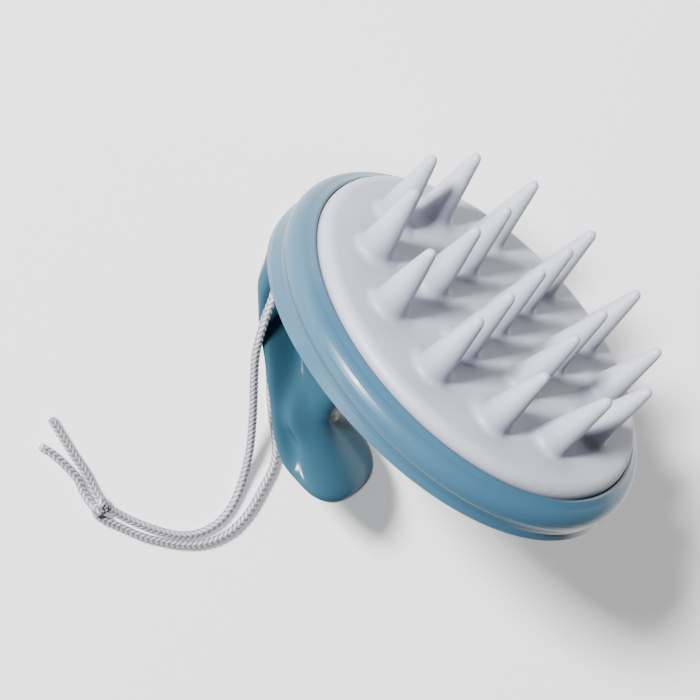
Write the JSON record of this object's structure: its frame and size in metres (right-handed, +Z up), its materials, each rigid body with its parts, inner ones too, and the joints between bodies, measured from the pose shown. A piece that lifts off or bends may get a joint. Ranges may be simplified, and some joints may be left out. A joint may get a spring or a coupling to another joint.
{
  "type": "scalp massager brush",
  "caption": "Round scalp massager brush: soft flared bristles on a domed pad, clamped in a teal body with an overhanging hook grip and a braided wrist cord.",
  "frame": {"origin": "on the surface the brush lies on, under the middle of the brush's bounding box, the cord left out", "axes": "+Z up from the surface; +X to the right and +Y away as seen from the cord's side, the brush lying on its rim and one flank of the grip"},
  "size_m": [0.1158, 0.0853, 0.0762],
  "materials": {
    "silicone": "satin pale grey silicone",
    "teal_abs": "semi-gloss muted teal",
    "inner_abs": "matt white moulding, hidden inside",
    "screw_steel": "zinc plated",
    "braid": "braided polyester, light grey"
  },
  "bodies": {
    "root": {"bristle_pad": "silicone", "clamp_ring": "teal_abs", "support_plate": "inner_abs", "back_shell": "teal_abs", "grip": "teal_abs", "grip_screws": "screw_steel", "wrist_cord": "braid", "cord_knot": "braid", "cord_tail_short": "braid", "cord_tail_long": "braid"}
  },
  "joints": []
}
